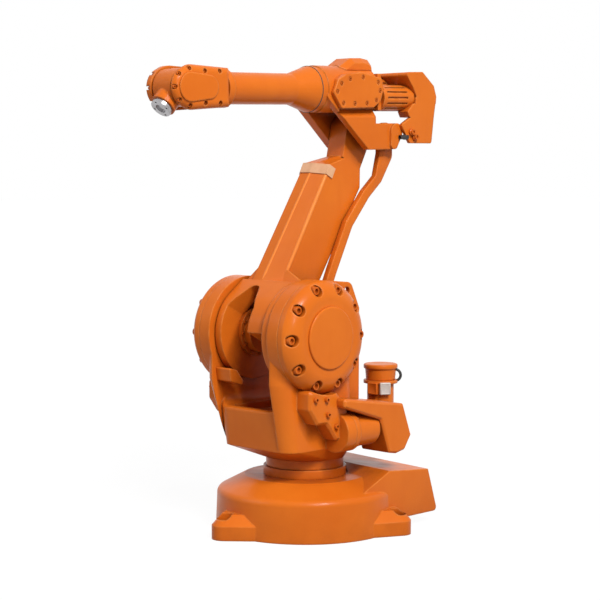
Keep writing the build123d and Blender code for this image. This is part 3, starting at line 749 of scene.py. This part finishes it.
@dataclass(frozen=True)
class Foot:
    """Bolts that hold the foot on the floor."""

    bolt: HexBolt = HexBolt(radius=0.0138, height=0.010, washer_radius=0.020, washer_height=0.003)
    bolt_circle: float = 0.310
    bolt_count: int = 3
    seat_height: float = 0.039

    def dress(self, links: Links, finishes: Finishes) -> None:
        """Put a bolt with its washer on each lug.

        Args:
            links: places of the links.
            finishes: materials of the arm.
        """
        places = []
        for index in range(self.bolt_count):
            turn = Matrix.Rotation(index * math.tau / self.bolt_count, 4, "Z")
            places.append(links.foot @ turn @ Matrix.Translation((self.bolt_circle, 0, self.seat_height)))
        add_piece(repeat(self.bolt.mesh(), places, "foot_bolts"), finishes.dark_paint, "foot")


@dataclass(frozen=True)
class Turret:
    """Screws, plugs and the short lead on the turret."""

    mid_y: float = -0.0215
    pocket_screw: Screw = Screw(radius=0.0130, height=0.014)
    pocket_distance: float = 0.1995
    pocket_circle: float = 0.150
    pocket_count: int = 10
    case_screw: Screw = Screw(radius=0.0075, height=0.010)
    case_distance: float = 0.2265
    case_places: tuple[Place, ...] = ((0.165, 0.433), (0.118, 0.430), (0.112, 0.384), (0.076, 0.345))
    flange_screw: Screw = Screw(radius=0.0045, height=0.007)
    flange_distance: float = 0.2035
    flange_x: float = 0.002
    flange_z: float = 0.322
    flange_circle: float = 0.057
    flange_count: int = 4
    motor_x: float = -0.288
    motor_y: float = 0.060
    motor_radius: float = 0.043
    lead_z: float = 0.459
    lead_bend: float = 0.019
    lead_reach: float = 0.046
    lead_radius: float = 0.0045
    lead_segments: int = 12
    lead_steps: int = 16
    lead_direction: float = 128.0
    plug_z: float = 0.420
    plug_size: Point = (0.020, 0.036, 0.040)
    plug_edge: float = 0.004
    plug_edge_segments: int = 3
    plug_rim: float = 0.004
    plug_sink: float = 0.0015
    plug_standoff: float = 0.006
    plug_direction: float = 58.0
    box_direction: float = 14.0

    def dress(self, links: Links, finishes: Finishes) -> None:
        """Put on the screws, the motor's plugs and its short lead.

        Args:
            links: places of the links.
            finishes: materials of the arm.
        """
        for name, side in SIDES:
            seat_y = self.mid_y + side * self.pocket_distance
            places = [facing(links.shoulder, (x, seat_y, z), (0, side, 0))
                      for x, z in ring(self.pocket_count, self.pocket_circle)]
            screws = repeat(self.pocket_screw.mesh(), places, name + "_housing_screws")
            add_piece(screws, finishes.dark_paint, "turret")
        for name, side in SIDES:
            seat_y = self.mid_y + side * self.case_distance
            places = [facing(links.turret, (x, seat_y, z), (0, side, 0)) for x, z in self.case_places]
            screws = repeat(self.case_screw.mesh(), places, name + "_case_screws")
            add_piece(screws, finishes.dark_paint, "turret")
            motor_y = self.mid_y + side * self.flange_distance
            places = [facing(links.turret, (self.flange_x, motor_y + y, self.flange_z + z), (-1, 0, 0))
                      for y, z in ring(self.flange_count, self.flange_circle, shift=0.5)]
            screws = repeat(self.flange_screw.mesh(), places, name + "_flange_screws")
            add_piece(screws, finishes.dark_paint, "turret")
        add_piece(self.lead(links), finishes.rubber, "turret")
        add_piece(self.plug("motor_plug", self.plug_direction, links), finishes.grey, "turret")
        add_piece(self.plug("motor_box", self.box_direction, links), finishes.dark_paint, "turret")

    def beside_motor(self, links: Links, height: float, direction: float, reach: float) -> Matrix:
        """Place beside the turning motor, with X pointing away from it.

        Args:
            links: places of the links.
            height: height on the turret.
            direction: direction round the motor, in degrees.
            reach: distance from the motor's axis.

        Returns:
            The place.
        """
        place = links.turret @ Matrix.Translation((self.motor_x, self.motor_y, height))
        turn = Matrix.Rotation(math.radians(direction), 4, "Z")
        return place @ turn @ Matrix.Translation((reach, 0, 0))

    def lead(self, links: Links) -> bpy.types.Mesh:
        """Bend the short stiff lead at the side of the turning motor.

        Args:
            links: places of the links.

        Returns:
            The mesh, in its place.
        """
        shape = bmesh.new()
        start = (0, 0, -self.lead_bend)
        circle = bmesh.ops.create_circle(shape, cap_ends=False, segments=self.lead_segments,
                                         radius=self.lead_radius, matrix=Matrix.Translation(start))
        bmesh.ops.rotate(shape, verts=circle["verts"], cent=start,
                         matrix=Matrix.Rotation(math.pi / 2, 3, "Y"))
        bmesh.ops.spin(shape, geom=shape.edges[:], cent=(0, 0, 0), axis=(0, -1, 0), angle=math.pi,
                       steps=self.lead_steps, use_merge=False)
        bmesh.ops.holes_fill(shape, edges=[edge for edge in shape.edges if edge.is_boundary], sides=0)
        place = self.beside_motor(links, self.lead_z, self.lead_direction, self.lead_reach)
        bmesh.ops.transform(shape, matrix=place, verts=shape.verts[:])
        return to_mesh(shape, "motor_lead")

    def plug(self, name: str, direction: float, links: Links) -> bpy.types.Mesh:
        """Model a connector block on the side of the turning motor.

        Args:
            name: name of the block.
            direction: direction in which it faces, in degrees round the motor.
            links: places of the links.

        Returns:
            The mesh, in its place.
        """
        shape = bmesh.new()
        bmesh.ops.create_cube(shape, size=1.0, matrix=Matrix.Diagonal((*self.plug_size, 1)))
        round_edges(shape, shape.edges[:], self.plug_edge, self.plug_edge_segments)
        front = max(shape.faces, key=lambda face: face.calc_center_median().x)
        bmesh.ops.inset_region(shape, faces=[front], thickness=self.plug_rim, depth=-self.plug_sink)
        reach = self.motor_radius + self.plug_standoff
        place = self.beside_motor(links, self.plug_z, direction, reach)
        bmesh.ops.transform(shape, matrix=place, verts=shape.verts[:])
        return to_mesh(shape, name)


@dataclass(frozen=True)
class LowerArm:
    """Screws on the lower arm's drive hub, and the ridges down its front, whose lighter enamel is a painted
    highlight.
    """

    hub_screw: Screw = Screw(radius=0.0045, height=0.006)
    hub_face_y: float = -0.103
    hub_circle: float = 0.0715
    hub_count: int = 12
    ridges: tuple[Ridge, ...] = (
        Ridge("crease_ridge", foot=(0.1000, -0.0580, 0.128), top=(0.0806, -0.0434, 0.514), radius=0.0066),
        Ridge("edge_ridge", foot=(0.0860, 0.0150, 0.168), top=(0.0714, 0.0150, 0.514), radius=0.0058),
    )

    def dress(self, links: Links, finishes: Finishes) -> None:
        """Put on the ridges, and the screws on the hub's ring.

        Args:
            links: places of the links.
            finishes: materials of the arm.
        """
        # The ridges take the lighter enamel, a painted highlight.
        for ridge in self.ridges:
            add_piece(ridge.mesh(links.lower_arm), finishes.worn_paint, "lower_arm")
        places = [facing(links.lower_arm, (x, self.hub_face_y, z), (0, 1, 0))
                  for x, z in ring(self.hub_count, self.hub_circle)]
        add_piece(repeat(self.hub_screw.mesh(), places, "hub_screws"), finishes.dark_paint, "lower_arm")


@dataclass(frozen=True)
class Rod:
    """Parallel rod with the rounded edges of a forging."""

    node: str = "parallel_rod"
    edge: float = 0.008
    edge_segments: int = 4
    flat_angle: float = math.radians(1)
    sharp_angle: float = math.radians(50)

    def dress(self, finishes: Finishes) -> None:
        """Round the long edges of the rod.

        Args:
            finishes: materials of the arm.
        """
        shape = bmesh.new()
        shape.from_mesh(frame["nodes"][self.node].data)
        bmesh.ops.remove_doubles(shape, verts=shape.verts[:], dist=SAME_POINT)
        bmesh.ops.dissolve_limit(shape, angle_limit=self.flat_angle, verts=shape.verts[:],
                                 edges=shape.edges[:])
        rim = [edge for edge in shape.edges if len(edge.link_faces) == 2
               and edge.calc_face_angle() > self.sharp_angle]
        round_edges(shape, rim, self.edge, self.edge_segments, clamp=True)
        piece = add_piece(to_mesh(shape, "rounded_rod"), finishes.paint, "rod")
        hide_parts(self.node)


@dataclass(frozen=True)
class UpperArm:
    """Screws of the side covers, connectors under the back cover and the forearm's seal."""

    cover_screw: Screw = Screw(radius=0.0055, height=0.006)
    screw_places: tuple[Place, ...] = (
        (0.170, 0.126), (0.151, 0.151), (0.112, 0.165), (0.052, 0.171), (-0.018, 0.156),
        (-0.026, 0.130), (-0.008, 0.100), (0.036, 0.090), (0.092, 0.089), (0.144, 0.090),
    )
    near_seat_y: float = 0.081
    far_seat_y: float = -0.103
    socket: Connector = Connector(radius=0.011, length=0.014)
    socket_places: tuple[Place, ...] = ((-0.164, -0.002), (-0.180, -0.018))
    socket_y: float = 0.092
    gland: Connector = Connector(radius=0.0085, length=0.036)
    gland_root: Point = (-0.152, 0.0865, -0.018)
    seal_x: float = 0.219
    seal_z: float = 0.135
    seal_radius: float = 0.071
    seal_thickness: float = 0.0014
    seal_segments: int = 10
    seal_steps: int = 72

    def dress(self, links: Links, finishes: Finishes) -> None:
        """Put on the screws, the connectors and the seal.

        Args:
            links: places of the links.
            finishes: materials of the arm.
        """
        for (name, side), seat_y in zip(SIDES, (self.near_seat_y, self.far_seat_y)):
            places = [facing(links.upper_arm, (x, seat_y, z), (0, side, 0)) for x, z in self.screw_places]
            screws = repeat(self.cover_screw.mesh(), places, name + "_cover_screws")
            add_piece(screws, finishes.dark_paint, "upper_arm")
        places = [facing(links.upper_arm, (x, self.socket_y, z), (0, 1, 0)) for x, z in self.socket_places]
        sockets = repeat(self.socket.mesh(), places, "back_connectors")
        add_piece(sockets, finishes.dark_paint, "upper_arm")
        place = facing(links.upper_arm, self.gland_root, (1, 0, 0))
        add_piece(repeat(self.gland.mesh(), [place], "back_gland"), finishes.rubber, "upper_arm")
        add_piece(self.seal(links), finishes.rubber, "upper_arm")

    def seal(self, links: Links) -> bpy.types.Mesh:
        """Turn the dark seal in the seam where the forearm rolls.

        Args:
            links: places of the links.

        Returns:
            The mesh, in its place.
        """
        shape = bmesh.new()
        start = (self.seal_radius, 0, 0)
        circle = bmesh.ops.create_circle(shape, segments=self.seal_segments, radius=self.seal_thickness,
                                         matrix=Matrix.Translation(start))
        bmesh.ops.rotate(shape, verts=circle["verts"], cent=start,
                         matrix=Matrix.Rotation(math.pi / 2, 3, "X"))
        bmesh.ops.spin(shape, geom=shape.edges[:], cent=(0, 0, 0), axis=(0, 0, 1), angle=math.tau,
                       steps=self.seal_steps, use_merge=True)
        place = facing(links.upper_arm, (self.seal_x, 0, self.seal_z), (1, 0, 0))
        bmesh.ops.transform(shape, matrix=place, verts=shape.verts[:])
        return to_mesh(shape, "roll_seal")


@dataclass(frozen=True)
class Wrist:
    """Screws sunk round the wrist housing."""

    screw: Screw = Screw(radius=0.0052, height=0.007)
    seat_y: float = 0.049
    circle: float = 0.053
    angles: tuple[float, ...] = (-90.0, -45.0, 0.0, 45.0, 90.0)
    runs: tuple[float, ...] = (0.058, 0.116)
    run_height: float = 0.046

    def dress(self, links: Links, finishes: Finishes) -> None:
        """Put a screw in each pocket.

        Args:
            links: places of the links.
            finishes: materials of the arm.
        """
        turns = [math.radians(angle) for angle in self.angles]
        points = [(self.circle * math.cos(turn), self.circle * math.sin(turn)) for turn in turns]
        points += [(-run, height) for run in self.runs for height in (self.run_height, -self.run_height)]
        for name, side in SIDES:
            places = [facing(links.wrist, (x, side * self.seat_y, z), (0, side, 0)) for x, z in points]
            screws = repeat(self.screw.mesh(), places, name + "_wrist_screws")
            add_piece(screws, finishes.dark_paint, "forearm")


@dataclass(frozen=True)
class Sun:
    """Soft even light; its direction is told in shares of the camera's back, right and up."""

    name: str
    back: float
    right: float
    up: float
    spread: float
    strength: float
    mirrored: bool = True

    def add(self, right: Vector, up: Vector, back: Vector) -> None:
        """Put the light into the scene.

        Args:
            right: direction of the photo's right edge.
            up: direction of the photo's top edge.
            back: direction towards the camera.
        """
        towards = self.back * back + self.right * right + self.up * up
        data = bpy.data.lights.new(self.name, "SUN")
        data.angle = math.radians(self.spread)
        data.energy = self.strength
        light = bpy.data.objects.new(self.name, data)
        light.rotation_euler = towards.to_track_quat("Z", "Y").to_euler()
        light.visible_glossy = self.mirrored
        bpy.context.scene.collection.objects.link(light)


@dataclass(frozen=True)
class Lamp:
    """Small square lamp; its place is told back, right and up from the point that it lights."""

    name: str
    back: float
    right: float
    up: float
    size: float
    power: float

    def add(self, aim: Vector, right: Vector, up: Vector, back: Vector) -> None:
        """Put the lamp into the scene.

        Args:
            aim: point that it lights.
            right: direction of the photo's right edge.
            up: direction of the photo's top edge.
            back: direction towards the camera.
        """
        spot = aim + self.back * back + self.right * right + self.up * up
        data = bpy.data.lights.new(self.name, "AREA")
        data.size = self.size
        data.energy = self.power
        lamp = bpy.data.objects.new(self.name, data)
        lamp.location = spot
        lamp.rotation_euler = (aim - spot).to_track_quat("-Z", "Y").to_euler()
        bpy.context.scene.collection.objects.link(lamp)


@dataclass(frozen=True)
class Studio:
    """White floor and backdrop, soft lamps, and the camera of the photo."""

    camera_azimuth: float = 51.47
    camera_distance: float = 5.126
    camera_height: float = 1.0986
    camera_swing: float = 0.18
    camera_pitch: float = 4.3
    camera_roll: float = 0.13
    focal_pixels: float = 1644.5
    image_pixels: float = 600.0
    sensor_mm: float = 36.0
    floor_half: float = 60.0
    floor_grey: float = 0.36
    floor_roughness: float = 0.9
    floor_specular: float = 0.1
    floor_share: float = 0.8
    floor_glow: float = 1.18
    backdrop_glow: float = 1.0
    ambient: float = 0.14
    aim: Point = (0, 0, 0.75)
    suns: tuple[Sun, ...] = (
        Sun("key_sun", back=1.0, right=0.45, up=0.9, spread=22.0, strength=2.3),
        Sun("side_sun", back=0.3, right=-1.0, up=0.6, spread=40.0, strength=0.65),
        Sun("rear_sun", back=-1.0, right=-0.1, up=0.4, spread=40.0, strength=1.1, mirrored=False),
    )
    lamps: tuple[Lamp, ...] = (
        Lamp("key_lamp", back=2.4, right=1.4, up=2.2, size=0.3, power=36.0),
        Lamp("front_lamp", back=3.4, right=1.0, up=1.0, size=0.25, power=14.0),
    )

    def build(self) -> None:
        """Set up the floor, the light and the camera."""
        bpy.context.scene.view_settings.view_transform = "Standard"
        self.add_floor()
        self.add_world()
        right, up, back = self.camera_axes()
        self.add_camera(right, up, back)
        for sun in self.suns:
            sun.add(right, up, back)
        for lamp in self.lamps:
            lamp.add(Vector(self.aim), right, up, back)

    def camera_axes(self) -> tuple[Vector, Vector, Vector]:
        """Work out how the photo's camera is turned.

        Returns:
            Directions of the photo's right edge and top edge, and back towards the camera.
        """
        heading = math.radians(self.camera_azimuth + 180 + self.camera_swing)
        pitch = math.radians(self.camera_pitch)
        roll = math.radians(self.camera_roll)
        level_ahead = Vector((math.cos(heading), math.sin(heading), 0))
        ahead = math.cos(pitch) * level_ahead - math.sin(pitch) * Vector((0, 0, 1))
        level_right = ahead.cross(Vector((0, 0, 1))).normalized()
        level_up = level_right.cross(ahead)
        right = math.cos(roll) * level_right + math.sin(roll) * level_up
        up = math.cos(roll) * level_up - math.sin(roll) * level_right
        return right, up, -ahead

    def add_camera(self, right: Vector, up: Vector, back: Vector) -> None:
        """Place the camera.

        Args:
            right: direction of the photo's right edge.
            up: direction of the photo's top edge.
            back: direction towards the camera.
        """
        azimuth = math.radians(self.camera_azimuth)
        spot = Vector((self.camera_distance * math.cos(azimuth), self.camera_distance * math.sin(azimuth),
                       self.camera_height))
        data = bpy.data.cameras.new("photo_camera")
        data.sensor_width = self.sensor_mm
        data.lens = self.focal_pixels / self.image_pixels * self.sensor_mm
        camera = bpy.data.objects.new("photo_camera", data)
        turn = Matrix((right, up, back)).transposed().to_4x4()
        camera.matrix_world = Matrix.Translation(spot) @ turn
        bpy.context.scene.collection.objects.link(camera)
        bpy.context.scene.camera = camera

    def add_floor(self) -> None:
        """Lay the pale floor that takes the arm's shadow."""
        shape = bmesh.new()
        bmesh.ops.create_grid(shape, x_segments=1, y_segments=1, size=self.floor_half)
        mesh = bpy.data.meshes.new("floor")
        shape.to_mesh(mesh)
        shape.free()
        graph = Graph("pale_floor")
        grey = self.floor_grey
        graph.shader.inputs["Base Color"].default_value = (grey, grey, grey, 1)
        graph.shader.inputs["Roughness"].default_value = self.floor_roughness
        graph.shader.inputs["Specular IOR Level"].default_value = self.floor_specular
        glow = graph.node("ShaderNodeEmission")
        glow.inputs["Strength"].default_value = self.floor_glow
        blend = graph.node("ShaderNodeMixShader")
        share = graph.ramp(self.seen_directly(graph.tree), 0, 1, end=self.floor_share)
        graph.join(share, blend.inputs["Fac"])
        graph.join(graph.shader.outputs["BSDF"], blend.inputs[1])
        graph.join(glow.outputs["Emission"], blend.inputs[2])
        graph.join(blend.outputs["Shader"], graph.tree.nodes["Material Output"].inputs["Surface"])
        mesh.materials.append(graph.material)
        floor = bpy.data.objects.new("floor", mesh)
        bpy.context.scene.collection.objects.link(floor)

    def add_world(self) -> None:
        """Light the arm softly from all round, in front of a white backdrop."""
        world = bpy.data.worlds.new("studio")
        bpy.context.scene.world = world
        world.use_nodes = True
        tree = world.node_tree
        soft = tree.nodes["Background"]
        soft.inputs["Color"].default_value = (1, 1, 1, 1)
        soft.inputs["Strength"].default_value = self.ambient
        white = tree.nodes.new("ShaderNodeBackground")
        white.inputs["Color"].default_value = (1, 1, 1, 1)
        white.inputs["Strength"].default_value = self.backdrop_glow
        blend = tree.nodes.new("ShaderNodeMixShader")
        tree.links.new(self.seen_directly(tree), blend.inputs["Fac"])
        tree.links.new(soft.outputs["Background"], blend.inputs[1])
        tree.links.new(white.outputs["Background"], blend.inputs[2])
        tree.links.new(blend.outputs["Shader"], tree.nodes["World Output"].inputs["Surface"])

    @staticmethod
    def seen_directly(tree: bpy.types.NodeTree) -> bpy.types.NodeSocket:
        """Tell the rays that show the backdrop: from the camera, or by way of gloss or glass.

        Args:
            tree: nodes of the floor or the world.

        Returns:
            Value that is 1 for those rays and 0 for the others.
        """
        path = tree.nodes.new("ShaderNodeLightPath")
        total = path.outputs["Is Camera Ray"]
        for name in ("Is Glossy Ray", "Is Transmission Ray"):
            larger = tree.nodes.new("ShaderNodeMath")
            larger.operation = "MAXIMUM"
            tree.links.new(total, larger.inputs[0])
            tree.links.new(path.outputs[name], larger.inputs[1])
            total = larger.outputs["Value"]
        return total


def main() -> None:
    """Dress the arm and set up the studio."""
    logging.basicConfig(level=logging.INFO)
    links = Links(frame["joints"])
    finishes = Finishes.make()
    Castings(finishes).dress()
    Foot().dress(links, finishes)
    Turret().dress(links, finishes)
    LowerArm().dress(links, finishes)
    Rod().dress(finishes)
    UpperArm().dress(links, finishes)
    Wrist().dress(links, finishes)
    Studio().build()


if __name__ == "__main__":
    main()
